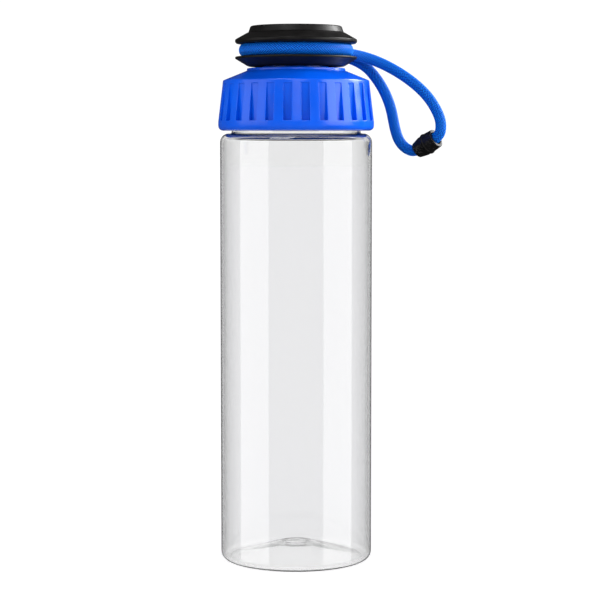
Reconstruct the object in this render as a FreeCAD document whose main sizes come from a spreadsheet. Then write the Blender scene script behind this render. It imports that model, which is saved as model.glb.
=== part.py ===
import FreeCAD, Part
import math
import os

import Sketcher
from FreeCAD import Placement, Rotation, Vector

# A clear drinking bottle with a screw lid, a screw cap on the lid's spout and a carry cord in the
# cap's groove. The frame has +Z up, its origin at the middle of the base, and +X towards the side
# where the cord hangs. Everything is in millimetres.

DIMENSIONS = {
    # bottle
    "body_radius": 35.0,
    "wall": 1.4,
    "heel_round": 3.7,
    "shoulder_height": 197.9,
    "shoulder_round": 4.0,
    "dome_height": 6.6,
    "dome_flat_radius": 7.5,
    "dome_round": 16.0,
    "standing_radius": 30.4,
    "gate_radius": 4.7,
    "gate_drop": 0.4,
    "neck_radius": 29.7,
    "neck_bore_radius": 28.2,
    "neck_top": 219.5,
    # screw lid
    "lid_bottom": 199.2,
    "lid_clocking": -2.87,
    "skirt_bore_radius": 31.3,
    "skirt_radius": 35.85,
    "skirt_round": 2.2,
    "bead_height": 4.2,
    "lid_shoulder_radius": 33.6,
    "lid_shoulder_height": 22.95,
    "collar_radius": 22.6,
    "collar_base": 27.45,
    "collar_top": 28.5,
    "roof_underside": 26.4,
    "roof_radius": 20.6,
    "plug_inner_radius": 26.2,
    "plug_outer_radius": 27.0,
    "plug_top": 23.8,
    "plug_bottom": 19.7,
    "seat_height": 22.15,
    "flute_count": 27,
    "flute_width": 3.6,
    "flute_floor_radius": 33.5,
    "flute_bottom": 4.5,
    "flute_top": 21.2,
    "flute_round": 0.8,
    # spout
    "spout_radius": 15.2,
    "spout_bore_radius": 12.6,
    "spout_top": 40.8,
    # seals
    "seal_gap": 0.05,
    "gasket_inner_radius": 27.15,
    "gasket_outer_radius": 31.15,
    "spout_seal_radius": 15.2,
    "spout_seal_thickness": 1.4,
    # spout cap
    "cap_bottom": 228.5,
    "socket_radius": 16.45,
    "socket_depth": 13.0,
    "flange_radius": 28.0,
    "flange_root_radius": 22.0,
    "flange_edge_height": 3.6,
    "flange_top": 4.5,
    "hub_radius": 21.3,
    "hub_top": 10.5,
    "spigot_radius": 19.3,
    "core_top": 14.5,
    "fit_gap": 0.05,
    "crown_rim_height": 0.7,
    "crown_rim_top": 1.8,
    "crown_top_radius": 22.5,
    "crown_top": 4.9,
    "cover_radius": 21.95,
    "cover_edge_radius": 20.9,
    "cover_edge_height": 3.1,
    "cover_top": 3.35,
    "cover_boss_radius": 19.2,
    "cover_boss_drop": 0.85,
    "cover_hollow_radius": 16.5,
    "cover_hollow_top": 1.3,
    # threads, both right-handed with two starts
    "lid_lead": 9.0,
    "lid_thread_height": 206.5,
    "lid_thread_rise": 8.0,
    "neck_thread_crest": 30.9,
    "lid_thread_crest": 30.1,
    "lid_thread_root_width": 2.0,
    "lid_thread_crest_width": 1.1,
    "cap_lead": 6.0,
    "cap_thread_height": 231.0,
    "cap_thread_rise": 5.5,
    "spout_thread_crest": 16.1,
    "cap_thread_crest": 15.5,
    "cap_thread_root_width": 1.4,
    "cap_thread_crest_width": 0.7,
    # cord
    "cord_diameter": 5.2,
    "turn_radius": 24.05,
    "turn_height": 236.0,
    "cup_radius": 5.2,
    # cord connector
    "connector_x": 61.4,
    "connector_y": 19.0,
    "connector_z": 192.9,
    "connector_azimuth": -35.0,
    "connector_rise": 29.0,
    "connector_half_length": 6.0,
    "connector_ridge_radius": 5.15,
    "connector_ridge_width": 0.7,
    "socket_end_radius": 4.5,
    "socket_body_radius": 4.85,
    "plug_body_radius": 4.7,
    "plug_end_radius": 3.7,
    "cord_bore_radius": 3.0,
    "cord_bore_depth": 2.8,
    "stem_radius": 2.3,
    "stem_length": 2.2,
}

THREAD_STARTS = 2
THREAD_BITE = 0.3
# Azimuths at which the two legs of the cord leave its turn round the hub.
OUTER_EXIT_AZIMUTH = 12.0
INNER_EXIT_AZIMUTH = 97.0
# The legs' routes from the turn to just outside the connector. The outer leg is the upper one.
OUTER_ROUTE = [
    (20.6, 18.5, 236.0),
    (35.6, 24.9, 233.3),
    (50.0, 23.6, 226.0),
    (61.5, 20.2, 216.4),
    (67.4, 15.4, 206.0),
    (67.9, 14.6, 199.6),
    (66.4, 15.5, 196.3),
]
INNER_ROUTE = [
    (16.0, 26.2, 236.0),
    (31.0, 29.6, 231.8),
    (38.8, 30.0, 223.6),
    (44.5, 28.2, 212.5),
    (46.9, 26.7, 199.4),
    (48.9, 25.8, 194.0),
    (52.2, 24.4, 190.6),
    (56.1, 22.7, 189.3),
]
# How far along its first straight run each leg starts to swing.
OUTER_PIVOT_RUN = 8.8
INNER_PIVOT_RUN = 7.6
# Share of the shorter of two runs that the arc between them takes from it.
ARC_SHARE = 0.45

doc = FreeCAD.newDocument("drinking_bottle")
sheet = doc.addObject("Spreadsheet::Sheet", "Sizes")
for row, (alias, number) in enumerate(DIMENSIONS.items(), start=1):
    sheet.set(f"A{row}", alias)
    sheet.set(f"B{row}", str(number))
    sheet.setAlias(f"B{row}", alias)
doc.recompute()


class Size:
    """A number from the sheet, or one worked out from such numbers, with its expression."""

    def __init__(self, value, text):
        self.value = value
        self.text = text

    def __add__(self, other):
        other = as_size(other)
        return Size(self.value + other.value, f"({self.text} + {other.text})")

    def __sub__(self, other):
        other = as_size(other)
        return Size(self.value - other.value, f"({self.text} - {other.text})")

    def __mul__(self, other):
        other = as_size(other)
        return Size(self.value * other.value, f"({self.text} * {other.text})")

    def __truediv__(self, other):
        other = as_size(other)
        return Size(self.value / other.value, f"({self.text} / {other.text})")


def as_size(number):
    if isinstance(number, Size):
        return number
    return Size(float(number), repr(float(number)))


def size(alias):
    return Size(float(DIMENSIONS[alias]), f"Sizes.{alias}")


def bind(obj, name, number):
    """Set a property of an object from the sheet."""
    number = as_size(number)
    setattr(obj, name, number.value)
    obj.setExpression(name, number.text)


def place(obj, x=0, y=0, z=0, turn=0, tilt=0):
    """Put a sub-part where it lies: tilted about Y, turned about Z, then moved."""
    x, y, z = as_size(x), as_size(y), as_size(z)
    turned = Rotation(Vector(0, 0, 1), as_size(turn).value)
    tilted = Rotation(Vector(0, 1, 0), as_size(tilt).value)
    obj.Placement = Placement(Vector(x.value, y.value, z.value), turned * tilted)
    for axis, number in (("x", x), ("y", y), ("z", z)):
        obj.setExpression(f"Placement.Base.{axis}", number.text)


# ---------------------------------------------------------------- sketches and features


def new_body(label):
    body = doc.addObject("PartDesign::Body", label)
    body.Label = label
    return body


def origin_feature(body, role):
    return next(item for item in body.Origin.OriginFeatures if item.Role == role)


def new_sketch(body, name, plane="XZ_Plane", depth=None):
    """A sketch on one of the body's planes, or a distance in front of it."""
    sketch = body.newObject("Sketcher::SketchObject", name)
    sketch.AttachmentSupport = [(origin_feature(body, plane), "")]
    sketch.MapMode = "FlatFace"
    if depth is not None:
        sketch.AttachmentOffset = Placement(Vector(0, 0, depth.value), Rotation())
        sketch.setExpression("AttachmentOffset.Base.z", depth.text)
    return sketch


def tie_point(sketch, geometry, point, x, y):
    """Hold a point of a sketch at the coordinates x and y."""
    for kind, axis, number in (("DistanceX", -2, x), ("DistanceY", -1, y)):
        number = as_size(number)
        if number.value == 0:
            sketch.addConstraint(Sketcher.Constraint("PointOnObject", geometry, point, axis))
            continue
        rule = Sketcher.Constraint(kind, -1, 1, geometry, point, number.value)
        index = sketch.addConstraint(rule)
        sketch.setExpression(f"Constraints[{index}]", number.text)


def rounded_corner(before, corner, after, radius):
    """The arc that rounds a corner, and whether it runs from before to after."""
    inward = (before - corner).normalize()
    onward = (after - corner).normalize()
    half = inward.getAngle(onward) / 2
    reach = radius / math.tan(half)
    bisector = (inward + onward).normalize()
    centre = corner + bisector * (radius / math.sin(half))
    first = corner + inward * reach - centre
    last = corner + onward * reach - centre
    forwards = first.cross(last).z > 0
    if not forwards:
        first, last = last, first
    start = math.atan2(first.y, first.x)
    sweep = first.getAngle(last)
    circle = Part.Circle(centre, Vector(0, 0, 1), radius)
    return Part.ArcOfCircle(circle, start, start + sweep), forwards, reach


def draw_outline(sketch, corners):
    """Draw a closed outline through corners (x, y) or (x, y, rounding radius)."""
    count = len(corners)
    spots = [Vector(as_size(c[0]).value, as_size(c[1]).value, 0) for c in corners]
    starts = list(spots)
    ends = list(spots)
    arcs = {}
    for i, corner in enumerate(corners):
        if len(corner) == 2:
            continue
        before, after = spots[i - 1], spots[(i + 1) % count]
        arc, forwards, reach = rounded_corner(before, spots[i], after, as_size(corner[2]).value)
        ends[i] = spots[i] + (before - spots[i]).normalize() * reach
        starts[i] = spots[i] + (after - spots[i]).normalize() * reach
        arcs[i] = (arc, forwards)
    for i in range(count):
        sketch.addGeometry(Part.LineSegment(starts[i], ends[(i + 1) % count]), False)
    for i, corner in enumerate(corners):
        line_in, line_out = (i - 1) % count, i
        if i not in arcs:
            sketch.addConstraint(Sketcher.Constraint("Coincident", line_in, 2, line_out, 1))
            tie_point(sketch, line_out, 1, corner[0], corner[1])
            continue
        arc, forwards = arcs[i]
        curve = sketch.addGeometry(arc, False)
        entry, leave = (1, 2) if forwards else (2, 1)
        sketch.addConstraint(Sketcher.Constraint("Tangent", line_in, 2, curve, entry))
        sketch.addConstraint(Sketcher.Constraint("Tangent", line_out, 1, curve, leave))
        rounding = as_size(corner[2])
        index = sketch.addConstraint(Sketcher.Constraint("Radius", curve, rounding.value))
        sketch.setExpression(f"Constraints[{index}]", rounding.text)
        mark = sketch.addGeometry(Part.Point(spots[i]), True)
        sketch.addConstraint(Sketcher.Constraint("PointOnObject", mark, 1, line_in))
        sketch.addConstraint(Sketcher.Constraint("PointOnObject", mark, 1, line_out))
        tie_point(sketch, mark, 1, corner[0], corner[1])


def revolve(body, name, corners):
    """Turn an outline of (radius, height) corners round the body's axis."""
    sketch = new_sketch(body, f"{name}_outline")
    draw_outline(sketch, corners)
    turned = body.newObject("PartDesign::Revolution", name)
    turned.Profile = sketch
    turned.ReferenceAxis = (sketch, ["V_Axis"])
    turned.Angle = 360
    sketch.Visibility = False
    return turned


def repeat_around(body, feature, count):
    pattern = body.newObject("PartDesign::PolarPattern", f"{feature.Name}_pattern")
    pattern.Originals = [feature]
    pattern.Axis = (origin_feature(body, "Z_Axis"), [""])
    pattern.Angle = 360
    pattern.Occurrences = int(as_size(count).value)
    if isinstance(count, Size):
        pattern.setExpression("Occurrences", count.text)
    body.Tip = pattern
    return pattern


def add_thread(body, name, root, crest, height, widths, lead, rise):
    """A two-start thread whose tooth stands on the radius root and ends at the radius crest."""
    root_width, crest_width = widths
    bite = THREAD_BITE if root.value > crest.value else -THREAD_BITE
    sketch = new_sketch(body, f"{name}_tooth")
    base = root + bite
    draw_outline(
        sketch,
        [
            (base, height - root_width / 2),
            (crest, height - crest_width / 2),
            (crest, height + crest_width / 2),
            (base, height + root_width / 2),
        ],
    )
    helix = body.newObject("PartDesign::AdditiveHelix", name)
    helix.Profile = sketch
    helix.ReferenceAxis = (sketch, ["V_Axis"])
    helix.Mode = "pitch-height-angle"
    bind(helix, "Pitch", lead)
    bind(helix, "Height", rise)
    helix.Angle = 0
    helix.LeftHanded = False
    helix.Reversed = False
    doc.recompute()
    return repeat_around(body, helix, THREAD_STARTS)


# ---------------------------------------------------------------- the sub-parts


def make_bottle_body():
    """The blow-moulded body: push-up base, straight wall, rounded shoulder and threaded neck."""
    body = new_body("bottle_body")
    radius, wall = size("body_radius"), size("wall")
    dome, flat = size("dome_height"), size("dome_flat_radius")
    standing = size("standing_radius")
    shoulder, neck = size("shoulder_height"), size("neck_radius")
    bore, top = size("neck_bore_radius"), size("neck_top")
    gate, drop = size("gate_radius"), size("gate_drop")
    heel, shoulder_round = size("heel_round"), size("shoulder_round")
    revolve(
        body,
        "bottle_wall",
        [
            (0, dome - drop),
            (gate, dome - drop),
            (gate, dome),
            (flat, dome, size("dome_round")),
            (standing, 0, 0.8),
            (radius, 0, heel),
            (radius, shoulder, shoulder_round),
            (neck, shoulder, 0.6),
            (neck, top, 0.4),
            (bore, top, 0.4),
            (bore, shoulder - wall, 1.0),
            (radius - wall, shoulder - wall, shoulder_round - wall),
            (radius - wall, wall, heel - wall),
            (standing + wall / 3, wall, 1.2),
            (flat + wall / 3, dome + wall, size("dome_round") - wall),
            (0, dome + wall),
        ],
    )
    add_thread(
        body,
        "neck_thread",
        neck,
        size("neck_thread_crest"),
        size("lid_thread_height"),
        (size("lid_thread_root_width"), size("lid_thread_crest_width")),
        size("lid_lead"),
        size("lid_thread_rise"),
    )
    place(body)
    return body


def cut_flutes(body):
    """The upright grip flutes: flat-floored, deepest at the bottom of the tapered skirt."""
    half = size("flute_width") / 2
    low, high = size("flute_bottom"), size("flute_top")
    floor = size("flute_floor_radius")
    sketch = new_sketch(body, "flute_outline", "YZ_Plane", floor)
    rounding = size("flute_round")
    left = as_size(0) - half
    draw_outline(
        sketch,
        [(left, low), (half, low), (half, high, rounding), (left, high, rounding)],
    )
    flute = body.newObject("PartDesign::Pocket", "flute")
    flute.Profile = sketch
    flute.Reversed = True
    bind(flute, "Length", size("skirt_radius") - floor + 1)
    doc.recompute()
    return repeat_around(body, flute, size("flute_count"))


def make_screw_lid():
    """The fluted lid with its threaded spout, plug lip and gasket seat."""
    body = new_body("screw_lid")
    bottom, clocking = size("lid_bottom"), size("lid_clocking")
    bore, skirt = size("skirt_bore_radius"), size("skirt_radius")
    collar, collar_top = size("collar_radius"), size("collar_top")
    spout, spout_bore = size("spout_radius"), size("spout_bore_radius")
    spout_top, roof = size("spout_top"), size("roof_underside")
    plug_in, plug_out = size("plug_inner_radius"), size("plug_outer_radius")
    plug_top, plug_bottom = size("plug_top"), size("plug_bottom")
    revolve(
        body,
        "lid_wall",
        [
            (bore, 0, 0.4),
            (skirt, 0, size("skirt_round")),
            (skirt, size("bead_height"), 4.0),
            (size("lid_shoulder_radius"), size("lid_shoulder_height"), 0.7),
            (collar, size("collar_base"), 0.3),
            (collar, collar_top, 0.4),
            (spout, collar_top, 0.3),
            (spout, spout_top, 0.8),
            (spout_bore, spout_top, 0.8),
            (spout_bore, roof, 0.8),
            (size("roof_radius"), roof, 2.0),
            (plug_in, plug_top, 0.4),
            (plug_in, plug_bottom, 0.2),
            (plug_out, plug_bottom, 0.3),
            (plug_out, size("seat_height")),
            (bore, size("seat_height")),
        ],
    )
    lid_lead, cap_lead = size("lid_lead"), size("cap_lead")
    lid_pitch = lid_lead / THREAD_STARTS
    shift = clocking / 360
    add_thread(
        body,
        "lid_thread",
        bore,
        size("lid_thread_crest"),
        size("lid_thread_height") - lid_pitch / 2 - bottom + lid_lead * shift,
        (size("lid_thread_root_width"), size("lid_thread_crest_width")),
        lid_lead,
        size("lid_thread_rise"),
    )
    add_thread(
        body,
        "spout_thread",
        spout,
        size("spout_thread_crest"),
        size("cap_thread_height") - bottom + cap_lead * shift,
        (size("cap_thread_root_width"), size("cap_thread_crest_width")),
        cap_lead,
        size("cap_thread_rise"),
    )
    cut_flutes(body)
    place(body, z=bottom, turn=clocking)
    return body


def make_ring(label, inner, outer, low, high):
    """A plain flat ring, or a disc where the inner radius is zero."""
    body = new_body(label)
    thickness = high - low
    revolve(body, f"{label}_section", [(inner, 0), (outer, 0), (outer, thickness), (inner, thickness)])
    place(body, z=low)
    return body


def make_lid_gasket():
    low = size("neck_top") + size("seal_gap")
    high = size("lid_bottom") + size("seat_height") - size("seal_gap")
    return make_ring("lid_gasket", size("gasket_inner_radius"), size("gasket_outer_radius"), low, high)


def make_spout_seal():
    low = size("lid_bottom") + size("spout_top") + size("seal_gap")
    high = low + size("spout_seal_thickness")
    return make_ring("spout_seal", as_size(0), size("spout_seal_radius"), low, high)


def make_cap_core():
    """The cap's core: threaded socket, lower flange and the hub that the cord lies round."""
    body = new_body("cap_core")
    socket, depth = size("socket_radius"), size("socket_depth")
    flange, flange_top = size("flange_radius"), size("flange_top")
    hub, hub_top = size("hub_radius"), size("hub_top")
    spigot, top = size("spigot_radius"), size("core_top")
    revolve(
        body,
        "core_wall",
        [
            (socket, 0, 0.4),
            (size("flange_root_radius"), 0, 3.0),
            (flange, size("flange_edge_height"), 0.4),
            (flange, flange_top, 0.4),
            (hub, flange_top, 0.5),
            (hub, hub_top, 0.2),
            (spigot, hub_top),
            (spigot, top, 0.3),
            (0, top),
            (0, depth),
            (socket, depth, 0.5),
        ],
    )
    pitch = size("cap_lead") / THREAD_STARTS
    add_thread(
        body,
        "cap_thread",
        socket,
        size("cap_thread_crest"),
        size("cap_thread_height") + pitch / 2 - size("cap_bottom"),
        (size("cap_thread_root_width"), size("cap_thread_crest_width")),
        size("cap_lead"),
        size("cap_thread_rise"),
    )
    place(body, z=size("cap_bottom"))
    return body


def make_cap_crown():
    """The cap's upper flange: a ring that closes the cord's groove from above."""
    body = new_body("cap_crown")
    bore = size("spigot_radius") + size("fit_gap")
    flange, top = size("flange_radius"), size("crown_top")
    revolve(
        body,
        "crown_wall",
        [
            (bore, 0, 0.2),
            (flange - 0.6, 0, 0.2),
            (flange, size("crown_rim_height"), 0.3),
            (flange, size("crown_rim_top"), 0.5),
            (size("crown_top_radius"), top, 0.3),
            (bore, top, 0.2),
        ],
    )
    place(body, z=size("cap_bottom") + size("hub_top"))
    return body


def make_cap_cover():
    """The low disc that closes the top of the cap."""
    body = new_body("cap_cover")
    boss, hollow = size("cover_boss_radius"), size("cover_hollow_radius")
    drop = as_size(0) - size("cover_boss_drop")
    edge = size("cover_edge_radius")
    revolve(
        body,
        "cover_wall",
        [
            (0, size("cover_hollow_top")),
            (hollow, size("cover_hollow_top"), 0.3),
            (hollow, drop),
            (boss, drop, 0.2),
            (boss, size("fit_gap")),
            (size("cover_radius"), size("fit_gap"), 0.2),
            (edge, size("cover_edge_height"), 1.0),
            (0, size("cover_top")),
        ],
    )
    place(body, z=size("cap_bottom") + size("hub_top") + size("crown_top"))
    return body


# ---------------------------------------------------------------- cord and its connector


def connector_axis():
    """Direction from the connector's lower end to its upper end."""
    azimuth = math.radians(DIMENSIONS["connector_azimuth"])
    rise = math.radians(DIMENSIONS["connector_rise"])
    level = math.cos(rise)
    return Vector(level * math.cos(azimuth), level * math.sin(azimuth), math.sin(rise))


def connector_centre():
    return Vector(*(DIMENSIONS[f"connector_{axis}"] for axis in "xyz"))


def on_turn(azimuth):
    """A point on the middle line of the cord's turn round the hub."""
    angle = math.radians(azimuth)
    radius = DIMENSIONS["turn_radius"]
    return Vector(radius * math.cos(angle), radius * math.sin(angle), DIMENSIONS["turn_height"])


def leg_route(exit_azimuth, route, side):
    """All the points of one leg, from the turn to its end inside the connector."""
    depth = DIMENSIONS["connector_half_length"] - DIMENSIONS["cord_bore_depth"]
    depth += DIMENSIONS["fit_gap"]
    end = connector_centre() + connector_axis() * (side * depth)
    return [on_turn(exit_azimuth)] + [Vector(*point) for point in route] + [end]


def pivot_point(points, run):
    """Where a leg starts to swing: a distance past its first bend."""
    return points[1] + (points[2] - points[1]).normalize() * run


def bend(before, corner, after):
    """The arc at one point of a route, as its radius and its three points."""
    inward = before - corner
    onward = after - corner
    reach = ARC_SHARE * min(inward.Length, onward.Length)
    inward.normalize()
    onward.normalize()
    half = inward.getAngle(onward) / 2
    radius = reach * math.tan(half)
    bisector = (inward + onward).normalize()
    middle = corner + bisector * (radius / math.sin(half) - radius)
    return radius, corner + inward * reach, middle, corner + onward * reach


def route_edges(label, points, begin, finish):
    """Straight runs and tangent arcs through the inner points, from begin to finish."""
    edges = []
    here = begin
    radii = []
    for before, corner, after in zip(points, points[1:], points[2:]):
        radius, first, middle, last = bend(before, corner, after)
        edges.append(Part.LineSegment(here, first).toShape())
        edges.append(Part.Arc(first, middle, last).toShape())
        radii.append(round(radius, 1))
        here = last
    edges.append(Part.LineSegment(here, finish).toShape())
    print(f"{label}: bend radii {radii} mm")
    return edges


def tube(label, edges):
    """A round cord along a path, with its volume compared with its length."""
    path = Part.Wire(edges)
    radius = DIMENSIONS["cord_diameter"] / 2
    start = path.OrderedEdges[0]
    at = start.valueAt(start.FirstParameter)
    direction = start.tangentAt(start.FirstParameter)
    section = Part.Wire(Part.makeCircle(radius, at, direction))
    solid = path.makePipeShell([section], True, False)
    expected = math.pi * radius**2 * path.Length
    print(f"{label}: length {path.Length:.1f} mm, volume {solid.Volume / expected:.4f} of expected")
    return solid


def shape_feature(label, shape):
    feature = doc.addObject("Part::Feature", label)
    feature.Label = label
    feature.Shape = shape
    feature.Placement = Placement()
    return feature


def make_cord_turn(outer, inner, outer_pivot, inner_pivot):
    """The cord's turn round the hub, with the start of each leg as far as its pivot."""
    middle_azimuth = (OUTER_EXIT_AZIMUTH + INNER_EXIT_AZIMUTH - 360) / 2
    arc = Part.Arc(on_turn(INNER_EXIT_AZIMUTH), on_turn(middle_azimuth), on_turn(OUTER_EXIT_AZIMUTH))
    towards_inner = route_edges("inner exit", inner[:3], inner[0], inner_pivot)
    towards_outer = route_edges("outer exit", outer[:3], outer[0], outer_pivot)
    edges = Part.sortEdges(towards_inner + [arc.toShape()] + towards_outer)[0]
    solid = tube("cord_turn", edges)
    for pivot in (outer_pivot, inner_pivot):
        solid = solid.cut(Part.makeSphere(DIMENSIONS["cup_radius"], pivot))
    return shape_feature("cord_turn", solid)


def make_cord_leg(label, points, pivot):
    """One hanging leg of the cord, with a ball at its pivot."""
    edges = route_edges(label, points[1:], pivot, points[-1])
    ball = Part.makeSphere(DIMENSIONS["cord_diameter"] / 2, pivot)
    solid = tube(label, edges).fuse(ball).removeSplitter()
    return shape_feature(label, solid)


def place_connector_half(body):
    tilt = as_size(90) - size("connector_rise")
    centre = [size(f"connector_{axis}") for axis in "xyz"]
    place(body, *centre, turn=size("connector_azimuth"), tilt=tilt)


def make_connector_socket():
    """The connector's upper half: a ridge at the joint, a cord bore above and a socket below."""
    body = new_body("connector_socket")
    length, bore = size("connector_half_length"), size("cord_bore_radius")
    ridge, ridge_width = size("connector_ridge_radius"), size("connector_ridge_width")
    stem, stem_length = size("stem_radius"), size("stem_length")
    bore_floor = length - size("cord_bore_depth")
    revolve(
        body,
        "socket_wall",
        [
            (stem + size("fit_gap"), size("fit_gap")),
            (ridge, size("fit_gap"), 0.15),
            (ridge, ridge_width, 0.3),
            (size("socket_body_radius"), ridge_width + 0.3),
            (size("socket_end_radius"), length, 0.4),
            (bore, length, 0.3),
            (bore, bore_floor),
            (0, bore_floor),
            (0, stem_length + size("fit_gap")),
            (stem + size("fit_gap"), stem_length + size("fit_gap")),
        ],
    )
    place_connector_half(body)
    return body


def make_connector_plug():
    """The connector's lower half: a tapered shell whose stem presses into the socket."""
    body = new_body("connector_plug")
    length, bore = size("connector_half_length"), size("cord_bore_radius")
    stem, stem_length = size("stem_radius"), size("stem_length")
    zero = as_size(0)
    revolve(
        body,
        "plug_wall",
        [
            (0, stem_length),
            (stem, stem_length, 0.3),
            (stem, 0),
            (size("plug_body_radius"), 0, 0.2),
            (size("plug_body_radius"), zero - length / 3, 2.0),
            (size("plug_end_radius"), zero - length, 0.3),
            (bore, zero - length, 0.2),
            (bore, size("cord_bore_depth") - length),
            (0, size("cord_bore_depth") - length),
        ],
    )
    place_connector_half(body)
    return body


# ---------------------------------------------------------------- build, check and write


def build():
    outer = leg_route(OUTER_EXIT_AZIMUTH, OUTER_ROUTE, 1)
    inner = leg_route(INNER_EXIT_AZIMUTH, INNER_ROUTE, -1)
    outer_pivot = pivot_point(outer, OUTER_PIVOT_RUN)
    inner_pivot = pivot_point(inner, INNER_PIVOT_RUN)
    print("loop pivot", outer_pivot, "axis", (outer_pivot - inner_pivot).normalize())
    return [
        make_bottle_body(),
        make_screw_lid(),
        make_lid_gasket(),
        make_spout_seal(),
        make_cap_core(),
        make_cap_crown(),
        make_cap_cover(),
        make_cord_turn(outer, inner, outer_pivot, inner_pivot),
        make_cord_leg("cord_outer_leg", outer, outer_pivot),
        make_cord_leg("cord_inner_leg", inner, inner_pivot),
        make_connector_socket(),
        make_connector_plug(),
    ]


def check(nodes):
    for item in doc.Objects:
        if "Invalid" in item.State or "Error" in item.State:
            raise RuntimeError(f"{item.Label} failed to recompute: {item.State}")
    for node in nodes:
        shape = node.Shape
        if shape.isNull() or not shape.isValid() or len(shape.Solids) != 1:
            raise RuntimeError(f"{node.Label} isn't one valid solid")


nodes = build()
doc.recompute()
check(nodes)
os.makedirs("parts", exist_ok=True)
for node in nodes:
    node.Shape.exportStep(f"parts/{node.Label}.step")
    print(f"{node.Label}: {node.Shape.Volume / 1000:.3f} cm3")
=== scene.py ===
import math

import bpy
import numpy as np
from mathutils import Matrix, Vector


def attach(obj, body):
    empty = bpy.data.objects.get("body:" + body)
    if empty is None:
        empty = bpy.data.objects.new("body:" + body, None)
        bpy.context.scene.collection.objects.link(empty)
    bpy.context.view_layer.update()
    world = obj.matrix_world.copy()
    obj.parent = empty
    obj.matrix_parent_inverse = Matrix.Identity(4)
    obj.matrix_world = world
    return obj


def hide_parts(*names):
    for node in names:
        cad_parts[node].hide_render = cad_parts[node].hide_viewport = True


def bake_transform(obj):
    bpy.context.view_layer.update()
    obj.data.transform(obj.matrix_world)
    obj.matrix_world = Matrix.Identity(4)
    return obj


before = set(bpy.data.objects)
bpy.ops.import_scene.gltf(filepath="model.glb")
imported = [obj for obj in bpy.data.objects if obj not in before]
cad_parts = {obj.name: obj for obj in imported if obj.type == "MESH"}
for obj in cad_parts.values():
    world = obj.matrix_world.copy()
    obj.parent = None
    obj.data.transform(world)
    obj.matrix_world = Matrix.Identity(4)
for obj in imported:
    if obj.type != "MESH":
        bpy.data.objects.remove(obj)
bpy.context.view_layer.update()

# A clear drinking bottle with a fluted screw lid, a black cap on its spout and a braided carry
# cord in the cap's groove. Outlines below are in millimetres, as (radius, height) or
# (radius, height, rounding); everything that reaches a mesh is in metres.

MM = 0.001

# The threads' tooth height on the axis, root and crest widths, lead and rise.
LID_THREAD = {"height": 206.5, "widths": (2.0, 1.1), "lead": 9.0, "rise": 8.0}
CAP_THREAD = {"height": 231.0, "widths": (1.4, 0.7), "lead": 6.0, "rise": 5.5}
THREAD_BITE = 0.3


# ---------------------------------------------------------------- outlines and turned pieces


def rounded(corners, closed=False, steps=6):
    """The points of an outline, with an arc at each corner that has a rounding."""
    points = []
    for i, corner in enumerate(corners):
        here = Vector(corner[:2])
        if len(corner) == 2 or (not closed and i in (0, len(corners) - 1)):
            points.append(here)
            continue
        back = (Vector(corners[i - 1][:2]) - here).normalized()
        onward = (Vector(corners[(i + 1) % len(corners)][:2]) - here).normalized()
        half = back.angle(onward) / 2
        reach = corner[2] / math.tan(half)
        middle = here + (back + onward).normalized() * (corner[2] / math.sin(half))
        first = here + back * reach - middle
        last = here + onward * reach - middle
        sweep = first.angle_signed(last)
        for step in range(steps + 1):
            turn = Matrix.Rotation(-sweep * step / steps, 2)
            points.append(middle + turn @ first)
    return points


def deselect_all():
    if bpy.context.object and bpy.context.object.mode != "OBJECT":
        bpy.ops.object.mode_set(mode="OBJECT")
    bpy.ops.object.select_all(action="DESELECT")


def select_where(piece, keep, mode="FACE"):
    """Select the faces, edges or vertices of a piece in edit mode for which keep is true."""
    bpy.ops.object.mode_set(mode="OBJECT")
    mesh = piece.data
    for group in (mesh.vertices, mesh.edges, mesh.polygons):
        group.foreach_set("select", [False] * len(group))
    parts = {"FACE": mesh.polygons, "EDGE": mesh.edges, "VERT": mesh.vertices}[mode]
    for part in parts:
        part.select = keep(part)
    bpy.ops.object.mode_set(mode="EDIT")
    bpy.ops.mesh.select_mode(type=mode)


def close_end(rim=0.25):
    """Fill the selected ring with a flat face and set a narrow rim round it."""
    bpy.ops.mesh.edge_face_add()
    bpy.ops.mesh.inset(thickness=rim * MM, depth=0)


def draw_up(name, outline, sides, closed=False, turn=0.0):
    """Draw a round piece up from one ring, with an extruded ring at each point of its outline.

    A closed outline comes back to its first ring. An open one starts and ends on the axis.
    """
    points = [point * MM for point in outline]
    rings = points + points[:1] if closed else points[1:-1]
    radius, height = rings[0]
    deselect_all()
    bpy.ops.mesh.primitive_circle_add(
        vertices=sides, radius=radius, location=(0, 0, height), rotation=(0, 0, turn)
    )
    piece = bpy.context.object
    piece.name = name
    piece.data.name = name
    bpy.ops.object.transform_apply(location=True, rotation=True, scale=True)
    bpy.ops.object.mode_set(mode="EDIT")
    bpy.ops.mesh.select_all(action="SELECT")
    if not closed:
        close_end()
        select_where(piece, lambda v: abs(v.co.xy.length - rings[0].x) < 1e-7, "VERT")
    for next_radius, next_height in rings[1:]:
        bpy.ops.mesh.extrude_region_move(
            TRANSFORM_OT_translate={"value": (0, 0, next_height - height)}
        )
        ratio = next_radius / radius
        bpy.ops.transform.resize(value=(ratio, ratio, 1), center_override=(0, 0, next_height))
        radius, height = next_radius, next_height
    if not closed:
        close_end()
    bpy.ops.mesh.select_all(action="SELECT")
    bpy.ops.mesh.remove_doubles(threshold=1e-6)
    bpy.ops.mesh.normals_make_consistent(inside=False)
    bpy.ops.object.mode_set(mode="OBJECT")
    return piece


def finish_piece(piece, material, angle=32, even_faces=True):
    """Smooth shading with crisp edges, and the piece's one material."""
    deselect_all()
    piece.select_set(True)
    bpy.context.view_layer.objects.active = piece
    bpy.ops.object.shade_smooth_by_angle(angle=math.radians(angle))
    if even_faces:
        weighting = piece.modifiers.new("even faces", "WEIGHTED_NORMAL")
        weighting.keep_sharp = True
        bpy.ops.object.modifier_apply(modifier=weighting.name)
    piece.data.materials.clear()
    piece.data.materials.append(material)


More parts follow.
